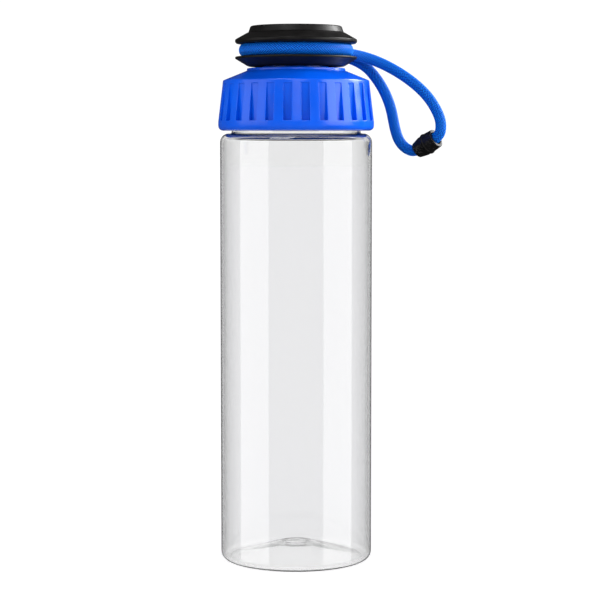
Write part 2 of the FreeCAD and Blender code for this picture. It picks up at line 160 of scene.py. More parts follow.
def wind_thread(name, root, crest, thread, raised=0.0, azimuth=0.0, steps=60):
    """A two-start thread: its tooth outline drawn along the helix, then copied half a turn on."""
    height = thread["height"] + raised
    root_width, crest_width = thread["widths"]
    lead, rise = thread["lead"], thread["rise"]
    centre = ((root + crest) / 2 * MM, 0, height * MM)
    deselect_all()
    bpy.ops.mesh.primitive_plane_add(size=1, location=centre, rotation=(math.pi / 2, 0, 0))
    thread = bpy.context.object
    thread.name = name
    bpy.ops.object.transform_apply(location=True, rotation=True, scale=True)
    bpy.ops.object.mode_set(mode="EDIT")
    bpy.ops.mesh.select_all(action="SELECT")
    bpy.ops.transform.resize(
        value=(abs(crest - root) * MM, 1, root_width * MM), center_override=centre
    )
    on_crest = (lambda v: v.co.x > centre[0]) if crest > root else (lambda v: v.co.x < centre[0])
    select_where(thread, on_crest, "VERT")
    bpy.ops.transform.resize(
        value=(1, 1, crest_width / root_width), center_override=(crest * MM, 0, height * MM)
    )
    bpy.ops.mesh.select_all(action="SELECT")
    bpy.ops.transform.rotate(
        value=-math.radians(azimuth), orient_axis="Z", center_override=(0, 0, 0)
    )
    step_angle = math.tau * rise / lead / steps
    for _ in range(steps):
        bpy.ops.mesh.extrude_region_move(
            TRANSFORM_OT_translate={"value": (0, 0, rise / steps * MM)}
        )
        bpy.ops.transform.rotate(
            value=-step_angle, orient_axis="Z", center_override=(0, 0, 0)
        )
    bpy.ops.mesh.select_all(action="SELECT")
    bpy.ops.mesh.duplicate()
    bpy.ops.transform.rotate(value=math.pi, orient_axis="Z", center_override=(0, 0, 0))
    bpy.ops.mesh.select_all(action="SELECT")
    bpy.ops.mesh.normals_make_consistent(inside=False)
    bpy.ops.object.mode_set(mode="OBJECT")
    return thread


def weld_on(piece, addition):
    """Make an added solid part of a piece's own wall."""
    deselect_all()
    piece.select_set(True)
    bpy.context.view_layer.objects.active = piece
    union = piece.modifiers.new("weld on", "BOOLEAN")
    union.operation = "UNION"
    union.solver = "EXACT"
    union.object = addition
    bpy.ops.object.modifier_apply(modifier=union.name)
    bpy.data.objects.remove(addition)


def soften_edges(piece, width, segments=2, angle=35):
    """Round every edge sharper than the angle."""
    deselect_all()
    piece.select_set(True)
    bpy.context.view_layer.objects.active = piece
    bevel = piece.modifiers.new("soft edges", "BEVEL")
    bevel.limit_method = "ANGLE"
    bevel.angle_limit = math.radians(angle)
    bevel.width = width * MM
    bevel.segments = segments
    bpy.ops.object.modifier_apply(modifier=bevel.name)


# ---------------------------------------------------------------- finishes


def new_finish(name):
    """A new material, with its nodes, links, main shader and texture coordinates."""
    material = bpy.data.materials.new(name)
    material.use_nodes = True
    nodes = material.node_tree.nodes
    shader = nodes["Principled BSDF"]
    coordinates = nodes.new("ShaderNodeTexCoord")
    return material, nodes, material.node_tree.links, shader, coordinates


def grain(nodes, links, source, scale, detail=3.0, stretch=None):
    """A noise pattern on the piece, drawn out along its axes where stretch is given."""
    pattern = nodes.new("ShaderNodeTexNoise")
    pattern.inputs["Scale"].default_value = scale
    pattern.inputs["Detail"].default_value = detail
    if stretch:
        mapping = nodes.new("ShaderNodeMapping")
        mapping.inputs["Scale"].default_value = stretch
        links.new(source, mapping.inputs["Vector"])
        source = mapping.outputs["Vector"]
    links.new(source, pattern.inputs["Vector"])
    return pattern.outputs["Fac"]


def spread(nodes, links, source, low, high, from_low=0.3, from_high=0.7):
    """Fit a pattern between two values."""
    fit = nodes.new("ShaderNodeMapRange")
    fit.inputs["From Min"].default_value = from_low
    fit.inputs["From Max"].default_value = from_high
    fit.inputs["To Min"].default_value = low
    fit.inputs["To Max"].default_value = high
    links.new(source, fit.inputs["Value"])
    return fit.outputs["Result"]


def two_tones(nodes, links, source, dark, light):
    """A colour that drifts between two tones with a pattern."""
    ramp = nodes.new("ShaderNodeValToRGB")
    ramp.color_ramp.elements[0].position = 0.3
    ramp.color_ramp.elements[0].color = (*dark, 1)
    ramp.color_ramp.elements[1].position = 0.7
    ramp.color_ramp.elements[1].color = (*light, 1)
    links.new(source, ramp.inputs["Fac"])
    return ramp.outputs["Color"]


def relief(nodes, links, shader, layers):
    """Stack bumps of (pattern, strength, height in millimetres) on the shader's normal."""
    below = None
    for source, strength, height in layers:
        bump = nodes.new("ShaderNodeBump")
        bump.inputs["Strength"].default_value = strength
        bump.inputs["Distance"].default_value = height * MM
        links.new(source, bump.inputs["Height"])
        if below:
            links.new(below, bump.inputs["Normal"])
        below = bump.outputs["Normal"]
    links.new(below, shader.inputs["Normal"])


def grey_and_painted_edge_shade(nodes, links):
    """The plastic's light grey, with painted shade deepening towards black where the wall is seen
    edge on, on the upright wall only; white elsewhere.
    """
    # Painted shade: the base colour darkens from light grey towards black as the upright wall turns
    # edge on.
    edge = nodes.new("ShaderNodeLayerWeight")
    edge_shade_ramp = nodes.new("ShaderNodeValToRGB")
    stops = edge_shade_ramp.color_ramp.elements
    stops[0].position, stops[0].color = 0.35, (0.916, 0.916, 0.918, 1)
    stops[1].position, stops[1].color = 0.96, (0.03, 0.03, 0.03, 1)
    for position, grey in ((0.68, 0.72), (0.82, 0.46)):
        stops.new(position).color = (grey, grey, grey, 1)
    links.new(edge.outputs["Facing"], edge_shade_ramp.inputs["Fac"])
    surface = nodes.new("ShaderNodeNewGeometry")
    split = nodes.new("ShaderNodeSeparateXYZ")
    links.new(surface.outputs["Normal"], split.inputs["Vector"])
    lean = nodes.new("ShaderNodeMath")
    lean.operation = "ABSOLUTE"
    links.new(split.outputs["Z"], lean.inputs[0])
    wall = nodes.new("ShaderNodeMix")
    wall.data_type = "RGBA"
    wall.inputs["B"].default_value = (1.0, 1.0, 1.0, 1)
    links.new(spread(nodes, links, lean.outputs["Value"], 0, 1, 0.15, 0.60), wall.inputs["Factor"])
    links.new(edge_shade_ramp.outputs["Color"], wall.inputs["A"])
    return wall.outputs["Result"]


def make_clear_plastic():
    """Clear blown plastic: slightly grey through its thickness, with painted shade darkening its
    upright wall where seen edge on, and faint upright flow lines.
    """
    material, nodes, links, shader, coordinates = new_finish("clear blown plastic")
    place = coordinates.outputs["Object"]
    shader.inputs["Transmission Weight"].default_value = 1.0
    shader.inputs["IOR"].default_value = 1.56
    # The base colour carries painted shade where the upright wall is seen edge on.
    links.new(grey_and_painted_edge_shade(nodes, links), shader.inputs["Base Color"])
    cloudy = grain(nodes, links, place, 45, 4)
    links.new(spread(nodes, links, cloudy, 0.012, 0.045), shader.inputs["Roughness"])
    flow = grain(nodes, links, place, 1.0, 2, (70, 70, 5))
    scuffs = grain(nodes, links, place, 1.0, 2, (900, 900, 160))
    relief(nodes, links, shader, [(flow, 0.12, 0.25), (scuffs, 0.03, 0.02)])
    absorption = nodes.new("ShaderNodeVolumeAbsorption")
    absorption.inputs["Color"].default_value = (0.25, 0.27, 0.28, 1)
    absorption.inputs["Density"].default_value = 22.0
    links.new(absorption.outputs["Volume"], nodes["Material Output"].inputs["Volume"])
    return material


def make_lid_plastic():
    """Blue moulded plastic with a fine satin texture and faint colour drift."""
    material, nodes, links, shader, coordinates = new_finish("blue moulded plastic")
    place = coordinates.outputs["Object"]
    drift = grain(nodes, links, place, 55, 3)
    colour = two_tones(nodes, links, drift, (0.000, 0.070, 0.60), (0.000, 0.096, 0.73))
    links.new(colour, shader.inputs["Base Color"])
    worn = grain(nodes, links, place, 160, 4)
    links.new(spread(nodes, links, worn, 0.17, 0.27), shader.inputs["Roughness"])
    shader.inputs["Specular IOR Level"].default_value = 0.42
    texture = grain(nodes, links, place, 2600, 2)
    drag = grain(nodes, links, place, 1.0, 2, (500, 500, 60))
    relief(nodes, links, shader, [(drag, 0.15, 0.05), (texture, 0.10, 0.02)])
    return material


def make_cap_plastic():
    """Black moulded plastic, satin, with a fine spark texture and a few paler rubs."""
    material, nodes, links, shader, coordinates = new_finish("black satin plastic")
    place = coordinates.outputs["Object"]
    rubs = grain(nodes, links, place, 220, 5)
    colour = two_tones(nodes, links, rubs, (0.0030, 0.0028, 0.0028), (0.0075, 0.0070, 0.0068))
    links.new(colour, shader.inputs["Base Color"])
    links.new(spread(nodes, links, rubs, 0.34, 0.46), shader.inputs["Roughness"])
    shader.inputs["Specular IOR Level"].default_value = 0.20
    spark = grain(nodes, links, place, 3200, 3)
    relief(nodes, links, shader, [(spark, 0.22, 0.02)])
    return material


def make_silicone():
    """Milky soft silicone."""
    material, nodes, links, shader, coordinates = new_finish("milky silicone")
    place = coordinates.outputs["Object"]
    haze = grain(nodes, links, place, 120, 3)
    colour = two_tones(nodes, links, haze, (0.66, 0.69, 0.70), (0.80, 0.82, 0.83))
    links.new(colour, shader.inputs["Base Color"])
    links.new(spread(nodes, links, haze, 0.42, 0.58), shader.inputs["Roughness"])
    shader.inputs["Subsurface Weight"].default_value = 0.2
    shader.inputs["Subsurface Radius"].default_value = (0.002, 0.002, 0.002)
    dust = grain(nodes, links, place, 1800, 2)
    relief(nodes, links, shader, [(dust, 0.12, 0.02)])
    return material


def make_cord_finish():
    """Blue braided nylon: painted shade darkens it to navy between the strands, and it is brightest
    where the strands rise, with fine fibres.
    """
    material, nodes, links, shader, coordinates = new_finish("blue braided nylon")
    rise = nodes.new("ShaderNodeAttribute")
    rise.attribute_name = "strand_height"
    # Painted shade by strand height: navy in the gaps between the strands, bright blue on the
    # strand tops.
    ramp = nodes.new("ShaderNodeValToRGB")
    stops = ramp.color_ramp.elements
    stops[0].position, stops[0].color = 0.32, (0.000, 0.007, 0.120, 1)
    stops[1].position, stops[1].color = 0.96, (0.001, 0.250, 0.860, 1)
    middle = stops.new(0.68)
    middle.color = (0.000, 0.080, 0.520, 1)
    links.new(rise.outputs["Fac"], ramp.inputs["Fac"])
    links.new(ramp.outputs["Color"], shader.inputs["Base Color"])
    fibres = grain(nodes, links, coordinates.outputs["UV"], 1.0, 3, (150, 3.2, 1))
    links.new(spread(nodes, links, fibres, 0.42, 0.62), shader.inputs["Roughness"])
    shader.inputs["Specular IOR Level"].default_value = 0.09
    shader.inputs["Sheen Weight"].default_value = 0.03
    shader.inputs["Sheen Roughness"].default_value = 0.4
    shader.inputs["Sheen Tint"].default_value = (0.05, 0.45, 1.0, 1)
    relief(nodes, links, shader, [(fibres, 0.35, 0.06)])
    return material


# ---------------------------------------------------------------- camera, light and floor


def place_camera():
    """A long lens, a little below the lid's height and looking slightly down."""
    bpy.ops.object.camera_add(
        location=(0.0018, -0.9155, 0.1963), rotation=(math.radians(85.294), 0, 0)
    )
    camera = bpy.context.object
    camera.data.lens = 118.8
    camera.data.sensor_width = 36
    camera.data.clip_start = 0.01
    camera.data.clip_end = 50
    bpy.context.scene.camera = camera


def add_softbox(name, place, aim, width, height, power, lights_up):
    """A soft lamp that shows only as light and in reflections."""
    bpy.ops.object.light_add(type="AREA", location=place)
    lamp = bpy.context.object
    lamp.name = name
    lamp.data.shape = "RECTANGLE"
    lamp.data.size = width
    lamp.data.size_y = height
    lamp.data.energy = power
    towards = Vector(aim) - Vector(place)
    lamp.rotation_euler = towards.to_track_quat("-Z", "Y").to_euler()
    lamp.visible_camera = False
    lamp.visible_transmission = False
    lamp.light_linking.receiver_collection = bpy.data.collections[lights_up]


def light_the_room():
    """White paper all round, which shiny surfaces hardly see, with a dim soft ceiling."""
    world = bpy.data.worlds.new("white studio")
    bpy.context.scene.world = world
    world.use_nodes = True
    nodes, links = world.node_tree.nodes, world.node_tree.links
    nodes.clear()
    output = nodes.new("ShaderNodeOutputWorld")
    direction = nodes.new("ShaderNodeTexCoord")
    split = nodes.new("ShaderNodeSeparateXYZ")
    links.new(direction.outputs["Generated"], split.inputs["Vector"])
    ramp = nodes.new("ShaderNodeValToRGB")
    stops = ramp.color_ramp.elements
    stops[0].position, stops[0].color = 0.25, (0.50, 0.50, 0.51, 1)
    stops[1].position, stops[1].color = 0.80, (0.33, 0.33, 0.34, 1)
    links.new(split.outputs["Z"], ramp.inputs["Fac"])
    room = nodes.new("ShaderNodeBackground")
    links.new(ramp.outputs["Color"], room.inputs["Color"])
    paper = nodes.new("ShaderNodeBackground")
    paper.inputs["Strength"].default_value = 1.05
    paper.inputs["Color"].default_value = (1, 1, 1, 1)
    dark = nodes.new("ShaderNodeBackground")
    dark.inputs["Color"].default_value = (0.05, 0.05, 0.05, 1)
    ray = nodes.new("ShaderNodeLightPath")
    here = room.outputs["Background"]
    for kind, seen in (
        ("Is Glossy Ray", dark),
        ("Is Transmission Ray", paper),
        ("Is Camera Ray", paper),
    ):
        choose = nodes.new("ShaderNodeMixShader")
        links.new(ray.outputs[kind], choose.inputs["Fac"])
        links.new(here, choose.inputs[1])
        links.new(seen.outputs["Background"], choose.inputs[2])
        here = choose.outputs["Shader"]
    links.new(here, output.inputs["Surface"])


def lay_floor():
    """White paper that glows enough to stay white without lamps."""
    deselect_all()
    bpy.ops.mesh.primitive_plane_add(size=24, location=(0, 0, 0))
    floor = bpy.context.object
    floor.name = "white_floor"
    material, nodes, links, shader, coordinates = new_finish("white paper floor")
    place = coordinates.outputs["Object"]
    mottle = grain(nodes, links, place, 30, 2)
    colour = two_tones(nodes, links, mottle, (0.925, 0.925, 0.93), (0.94, 0.94, 0.94))
    links.new(colour, shader.inputs["Base Color"])
    shader.inputs["Roughness"].default_value = 0.9
    shader.inputs["Specular IOR Level"].default_value = 0.1
    shader.inputs["Emission Color"].default_value = (1, 1, 1, 1)
    shader.inputs["Emission Strength"].default_value = 0.72
    # Shiny surfaces don't see the floor, so it lays no pale veil over them.
    unseen = nodes.new("ShaderNodeBsdfTransparent")
    ray = nodes.new("ShaderNodeLightPath")
    reflected = nodes.new("ShaderNodeMath")
    reflected.operation = "SUBTRACT"
    reflected.use_clamp = True
    links.new(ray.outputs["Is Glossy Ray"], reflected.inputs[0])
    links.new(ray.outputs["Is Transmission Ray"], reflected.inputs[1])
    choose = nodes.new("ShaderNodeMixShader")
    links.new(reflected.outputs["Value"], choose.inputs["Fac"])
    links.new(shader.outputs["BSDF"], choose.inputs[1])
    links.new(unseen.outputs["BSDF"], choose.inputs[2])
    links.new(choose.outputs["Shader"], nodes["Material Output"].inputs["Surface"])
    floor.data.materials.append(material)
    return floor


def group_for_lamps(name, state, pieces):
    """Pieces that the lamps given this name light alone (INCLUDE) or leave out (EXCLUDE)."""
    group = bpy.data.collections.new(name)
    for i, piece in enumerate(pieces):
        group.objects.link(piece)
        group.collection_objects[i].light_linking.link_state = state


def set_up_lamps(floor, bottle):
    """Side boxes that the bottle reflects, and more light for the lid, cap and cord alone.

    No lamp lights the floor, so it stays one even white with only a soft contact shadow.
    """
    group_for_lamps("bottle alone", "INCLUDE", [bottle])
    group_for_lamps("all but floor", "EXCLUDE", [floor])
    group_for_lamps("all but floor and bottle", "EXCLUDE", [floor, bottle])
    # The side boxes reach below the floor, so that their reflections run the bottle's whole height.
    wall, all_pieces, top = "bottle alone", "all but floor", "all but floor and bottle"
    add_softbox("left box", (-0.83, -0.36, 0.16), (0, 0, 0.16), 0.86, 1.0, 6.2, wall)
    add_softbox("right box", (0.83, -0.36, 0.16), (0, 0, 0.16), 0.86, 1.0, 6.5, wall)
    add_softbox("high key", (-0.30, -0.50, 1.10), (0, 0, 0.20), 0.50, 0.50, 5.0, all_pieces)
    add_softbox("upper left", (-0.83, -0.36, 0.42), (0, 0, 0.22), 0.86, 0.60, 2.2, top)
    add_softbox("upper right", (0.83, -0.36, 0.42), (0, 0, 0.22), 0.80, 0.60, 5.8, top)
    add_softbox("back right", (0.78, 0.30, 0.62), (0.03, 0, 0.22), 0.50, 0.50, 14.0, top)
    add_softbox("front fill", (0.10, -1.30, 0.75), (0, 0, 0.22), 0.50, 0.40, 2.0, top)


place_camera()
light_the_room()
floor = lay_floor()
bpy.context.scene.view_settings.view_transform = "Standard"

clear_plastic = make_clear_plastic()
blue_plastic = make_lid_plastic()
black_plastic = make_cap_plastic()
silicone = make_silicone()
braided_nylon = make_cord_finish()


# ---------------------------------------------------------------- carry cord

# The cord's own places and sizes are in metres. In the cap's groove it lies a little flattened,
# taller than it is deep.
CORD_WIDTH = 0.0052
BAND_HEIGHT = 0.0059
BAND_DEPTH = 0.0046
TURN_RADIUS = 0.02405
TURN_HEIGHT = 0.236
TURN_POINTS = 15
OUTER_EXIT = 12.0
INNER_EXIT = 97.0
CONNECTOR = Vector((0.0614, 0.0190, 0.1929))
CONNECTOR_AZIMUTH = math.radians(-35)
CONNECTOR_RISE = math.radians(29)
CONNECTOR_AXIS = Vector(
    (
        math.cos(CONNECTOR_RISE) * math.cos(CONNECTOR_AZIMUTH),
        math.cos(CONNECTOR_RISE) * math.sin(CONNECTOR_AZIMUTH),
        math.sin(CONNECTOR_RISE),
    )
)
CORD_END = 0.00325
OUTER_LEG = [
    (0.0206, 0.0185, 0.2360),
    (0.0356, 0.0249, 0.2333),
    (0.0500, 0.0236, 0.2260),
    (0.0615, 0.0202, 0.2164),
    (0.0674, 0.0154, 0.2060),
    (0.0679, 0.0146, 0.1996),
    (0.0664, 0.0155, 0.1963),
]
INNER_LEG = [
    (0.0160, 0.0262, 0.2360),
    (0.0310, 0.0296, 0.2318),
    (0.0388, 0.0300, 0.2236),
    (0.0445, 0.0282, 0.2125),
    (0.0469, 0.0267, 0.1994),
    (0.0489, 0.0258, 0.1940),
    (0.0522, 0.0244, 0.1906),
    (0.0561, 0.0227, 0.1893),
]
# The tube has this many points round it and rings along it.
AROUND = 96
ALONG = 870
STRANDS = 16
STRAND_ROW = 0.00125
STRAND_DEPTH = 0.00040
# The length over which the cord goes from round to flattened.
EASE = 0.012


def cord_points():
    """From the connector's socket up the outer leg, round the hub and down the inner leg."""
    points = [CONNECTOR + CONNECTOR_AXIS * CORD_END]
    points += [Vector(point) for point in reversed(OUTER_LEG)]
    sweep = math.radians(INNER_EXIT - 360 - OUTER_EXIT)
    step = sweep / (TURN_POINTS - 1)
    # The spline cuts inside its control points, so they stand a little outside the turn.
    reach = TURN_RADIUS / (0.75 + 0.25 * math.cos(step))
    for i in range(TURN_POINTS):
        angle = math.radians(OUTER_EXIT) + step * i
        points.append(Vector((reach * math.cos(angle), reach * math.sin(angle), TURN_HEIGHT)))
    points += [Vector(point) for point in INNER_LEG]
    points.append(CONNECTOR - CONNECTOR_AXIS * CORD_END)
    return points


def spline_line(name, points):
    """The line of a smooth spline through the cord's control points."""
    curve = bpy.data.curves.new(name, "CURVE")
    curve.dimensions = "3D"
    curve.resolution_u = 24
    spline = curve.splines.new("NURBS")
    spline.points.add(len(points) - 1)
    for target, point in zip(spline.points, points):
        target.co = (*point, 1)
    spline.order_u = 3
    spline.use_endpoint_u = True
    guide = bpy.data.objects.new(name, curve)
    bpy.context.scene.collection.objects.link(guide)
    bpy.context.view_layer.update()
    mesh = bpy.data.meshes.new_from_object(guide)
    line = np.array([vertex.co for vertex in mesh.vertices], float)
    bpy.data.objects.remove(guide)
    bpy.data.meshes.remove(mesh)
    return line


def even_line(line, count):
    """The same line with evenly spaced points, and each point's distance along it."""
    run = np.concatenate([[0], np.cumsum(np.linalg.norm(np.diff(line, axis=0), axis=1))])
    places = np.linspace(0, run[-1], count)
    return np.stack([np.interp(places, run, line[:, k]) for k in range(3)], axis=1), places


def carried_frames(line, start):
    """Upright and sideways directions carried along the line from its level turn."""
    tangents = np.gradient(line, axis=0)
    tangents /= np.linalg.norm(tangents, axis=1)[:, None]
    upright = np.zeros_like(line)
    upright[start] = (0, 0, 1)
    for order in (range(start + 1, len(line)), range(start - 1, -1, -1)):
        before = start
        for i in order:
            carried = upright[before] - tangents[i] * (upright[before] @ tangents[i])
            upright[i] = carried / np.linalg.norm(carried)
            before = i
    return upright, np.cross(tangents, upright)


def strand_relief(theta, distance):
    """How high the braid's strands stand, 0 to 1: two over, two under, both ways round."""
    column = STRANDS * theta / math.tau
    row = distance / STRAND_ROW
    one, other = column + row, column - row
    over = (np.floor(one) + np.floor(other)) % 4 < 2
    top = np.where(over, one, other) % 1.0
    side = np.where(over, other, one) % 1.0
    crown = np.sin(math.pi * top) ** 0.8
    dip = 0.75 + 0.25 * np.sin(math.pi * side)
    return crown * dip


def flattened_share(line, distance):
    """How far the cord is flattened at each point: 1 on the hub, easing off to 0 beside it."""
    from_axis = np.hypot(line[:, 0], line[:, 1])
    level = np.abs(line[:, 2] - TURN_HEIGHT) < 0.0006
    first, last = np.flatnonzero(level & (from_axis < TURN_RADIUS + 0.001))[[0, -1]]
    share = np.minimum(
        np.clip((distance - distance[first]) / EASE, 0, 1),
        np.clip((distance[last] - distance) / EASE, 0, 1),
    )
    return (share * share * (3 - 2 * share))[:, None]


def tube_faces():
    """The faces of a tube of ALONG rings with AROUND points each, and its two ends."""
    ring = np.arange(AROUND)
    onward = (ring + 1) % AROUND
    rows = np.arange(ALONG - 1)[:, None] * AROUND
    corners = [rows + ring, rows + AROUND + ring, rows + AROUND + onward, rows + onward]
    faces = np.stack(corners, axis=2).reshape(-1, 4).tolist()
    faces.append(list(range(AROUND)))
    faces.append(list(range((ALONG - 1) * AROUND, ALONG * AROUND))[::-1])
    return faces


def wrap_cord(mesh, length):
    """A UV map that runs round the cord, and along it in millimetres."""
    corners = np.zeros(len(mesh.loops), np.int32)
    mesh.loops.foreach_get("vertex_index", corners)
    across = (corners % AROUND) / AROUND
    # The faces that close each ring end at 1, not back at 0.
    closing = np.repeat(np.arange(AROUND) == AROUND - 1, 4)
    closing &= np.tile([False, False, True, True], AROUND)
    seam = np.zeros(len(corners), bool)
    seam[: (ALONG - 1) * AROUND * 4] = np.tile(closing, ALONG - 1)
    across[seam] = 1.0
    along = (corners // AROUND) * (length / (ALONG - 1)) / MM
    wrap = mesh.uv_layers.new(name="along_cord")
    wrap.data.foreach_set("uv", np.stack([across, along], axis=1).reshape(-1).astype(np.float32))


def weave_cord(name):
    """The braided cord, a tube along its line whose skin rises and sinks with its strands."""
    line, distance = even_line(spline_line("cord line", cord_points()), ALONG)
    front_of_hub = int(np.argmin(line[:, 1]))
    upright, sideways = carried_frames(line, front_of_hub)
    flat = flattened_share(line, distance)
    theta, along = np.meshgrid(np.arange(AROUND) * math.tau / AROUND, distance)
    strands = strand_relief(theta, along)
    sink = (1 - strands) * STRAND_DEPTH
    tall = (CORD_WIDTH + (BAND_HEIGHT - CORD_WIDTH) * flat) / 2
    deep = (CORD_WIDTH + (BAND_DEPTH - CORD_WIDTH) * flat) / 2
    rise = np.cos(theta) * (tall - sink)
    out = np.sin(theta) * (deep - sink)
    skin = (
        line[:, None, :]
        + rise[:, :, None] * upright[:, None, :]
        + out[:, :, None] * sideways[:, None, :]
    )
    mesh = bpy.data.meshes.new(name)
    mesh.from_pydata(skin.reshape(-1, 3).tolist(), [], tube_faces())
    height = mesh.attributes.new("strand_height", "FLOAT", "POINT")
    height.data.foreach_set("value", strands.reshape(-1).astype(np.float32))
    wrap_cord(mesh, distance[-1])
    cord = bpy.data.objects.new(name, mesh)
    bpy.context.scene.collection.objects.link(cord)
    deselect_all()
    cord.select_set(True)
    bpy.context.view_layer.objects.active = cord
    bpy.ops.object.mode_set(mode="EDIT")
    bpy.ops.mesh.select_all(action="SELECT")
    bpy.ops.mesh.normals_make_consistent(inside=False)
    bpy.ops.object.mode_set(mode="OBJECT")
    finish_piece(cord, braided_nylon, 70, even_faces=False)
    return cord, line


def lay_on_connector_axis(piece):
    """Tilt a piece drawn up along Z on to the connector's own axis."""
    stand = CONNECTOR_AXIS.to_track_quat("Z", "Y").to_matrix().to_4x4()
    piece.data.transform(Matrix.Translation(CONNECTOR) @ stand)


# The connector's outlines run along its own axis, in millimetres.
BARREL_HALF = 6.0
CORD_BORE = 3.0
CORD_BORE_FLOOR = 3.2
STEM_RADIUS = 2.3
STEM_LENGTH = 2.2
FIT_GAP = 0.05


def make_connector_socket():
    """The half of the connector with the ridge, bored for the cord and for the plug's stem."""
    stem_bore = STEM_RADIUS + FIT_GAP
    outline = rounded(
        [
            (stem_bore, FIT_GAP),
            (5.15, FIT_GAP, 0.15),
            (5.15, 0.7, 0.3),
            (4.85, 1.0),
            (4.5, BARREL_HALF, 0.4),
            (CORD_BORE, BARREL_HALF, 0.3),
            (CORD_BORE, CORD_BORE_FLOOR),
            (stem_bore, 2.9),
        ],
        closed=True,
    )
    socket = draw_up("connector_socket_half", outline, 72, closed=True)
    lay_on_connector_axis(socket)
    finish_piece(socket, black_plastic)
    return socket


def make_connector_plug():
    """The tapered half of the connector, bored for the cord, with the stem on its face."""
    outline = rounded(
        [
            (0, STEM_LENGTH),
            (STEM_RADIUS, STEM_LENGTH, 0.3),
            (STEM_RADIUS, 0),
            (4.7, 0, 0.2),
            (4.7, -2.0, 2.0),
            (3.7, -BARREL_HALF, 0.3),
            (CORD_BORE, -BARREL_HALF, 0.2),
            (CORD_BORE, -CORD_BORE_FLOOR),
            (0, -CORD_BORE_FLOOR),
        ]
    )
    plug = draw_up("connector_plug_half", outline, 72)
    lay_on_connector_axis(plug)
    finish_piece(plug, black_plastic)
    return plug


cord, cord_line = weave_cord("braided_cord")
socket_half = make_connector_socket()
plug_half = make_connector_plug()


# ---------------------------------------------------------------- bottle


BODY_RADIUS = 35.0
WALL = 1.4
SHOULDER_HEIGHT = 197.9
NECK_RADIUS = 29.7
NECK_BORE = 28.2
NECK_TOP = 219.5
DOME_HEIGHT = 6.6
DOME_FLAT = 7.5
STANDING_RADIUS = 30.4
# The inside corners of the base lie this much further out than the outside ones.
BASE_OFFSET = 0.47
GATE_RADIUS = 4.7
GATE_DROP = 0.4
NECK_THREAD_CREST = 30.9


def make_bottle():
    """The blown bottle: push-up base, straight wall, rounded shoulder and threaded neck."""
    outside = [
        (0, DOME_HEIGHT - GATE_DROP),
        (GATE_RADIUS, DOME_HEIGHT - GATE_DROP, 0.12),
        (GATE_RADIUS + 0.2, DOME_HEIGHT, 0.12),
        (DOME_FLAT, DOME_HEIGHT, 16.0),
        (STANDING_RADIUS, 0, 0.8),
        (BODY_RADIUS, 0, 3.7),
        (BODY_RADIUS, SHOULDER_HEIGHT, 4.0),
        (NECK_RADIUS, SHOULDER_HEIGHT, 0.6),
        (NECK_RADIUS, NECK_TOP, 0.4),
    ]
    inside = [
        (NECK_BORE, NECK_TOP, 0.4),
        (NECK_BORE, SHOULDER_HEIGHT - WALL, 1.0),
        (BODY_RADIUS - WALL, SHOULDER_HEIGHT - WALL, 2.6),
        (BODY_RADIUS - WALL, WALL, 2.3),
        (STANDING_RADIUS + BASE_OFFSET, WALL, 1.2),
        (DOME_FLAT + BASE_OFFSET, DOME_HEIGHT + WALL, 14.6),
        (0, DOME_HEIGHT + WALL),
    ]
    bottle = draw_up("clear_bottle", rounded(outside + inside, steps=8), 192)
    weld_on(
        bottle,
        wind_thread("neck thread", NECK_RADIUS - THREAD_BITE, NECK_THREAD_CREST, LID_THREAD),
    )
    finish_piece(bottle, clear_plastic)
    return bottle


# ---------------------------------------------------------------- screw lid

LID_BOTTOM = 199.2
LID_CLOCKING = -2.87
SKIRT_RADIUS = 35.85
SKIRT_BORE = 31.3
BEAD_HEIGHT = 4.2
LID_SHOULDER_RADIUS = 33.6
LID_SHOULDER_HEIGHT = 22.95
COLLAR_RADIUS = 22.6
COLLAR_TOP = 28.5
ROOF_UNDERSIDE = 26.4
SEAT_HEIGHT = 22.15
PLUG_RADII = (26.2, 27.0)
PLUG_BOTTOM = 19.7
SPOUT_RADIUS = 15.2
SPOUT_BORE = 12.6
SPOUT_TOP = 40.8
LID_THREAD_CREST = 30.1
SPOUT_THREAD_CREST = 16.1

FLUTES = 27
COLUMNS = 9
FLUTE_HEIGHTS = (4.5, 21.2)
FLUTE_FLOOR = 33.5


def flute_column(x, y):
    """Where a place lies across its flute's share of the lid, in columns from the middle."""
    share = 360 / FLUTES
    angle = math.degrees(math.atan2(y, x)) - LID_CLOCKING
    return ((angle + share / 2) % share - share / 2) / share * COLUMNS


def press_flutes(lid):
    """Press the upright grip flutes into the skirt, deepest just above the bead."""
    low, high = ((LID_BOTTOM + height) * MM for height in FLUTE_HEIGHTS)
    outside = (FLUTE_FLOOR - 0.5) * MM
    select_where(
        lid,
        lambda f: low < f.center.z < high
        and f.center.xy.length > outside
        and abs(flute_column(f.center.x, f.center.y)) < 2,
    )
    bpy.ops.mesh.extrude_region_move(TRANSFORM_OT_translate={"value": (0, 0, 0)})
    bpy.ops.object.mode_set(mode="OBJECT")
    pressed = [v.index for v in lid.data.vertices if v.select]
    levels = sorted({round(lid.data.vertices[i].co.z, 7) for i in pressed})
    for level in levels:
        row = {i for i in pressed if abs(lid.data.vertices[i].co.z - level) < 1e-6}
        radius = max(lid.data.vertices[i].co.xy.length for i in row)
        select_where(lid, lambda v: v.index in row, "VERT")
        ratio = FLUTE_FLOOR * MM / radius
        bpy.ops.transform.resize(value=(ratio, ratio, 1), center_override=(0, 0, level))
        bpy.ops.object.mode_set(mode="OBJECT")


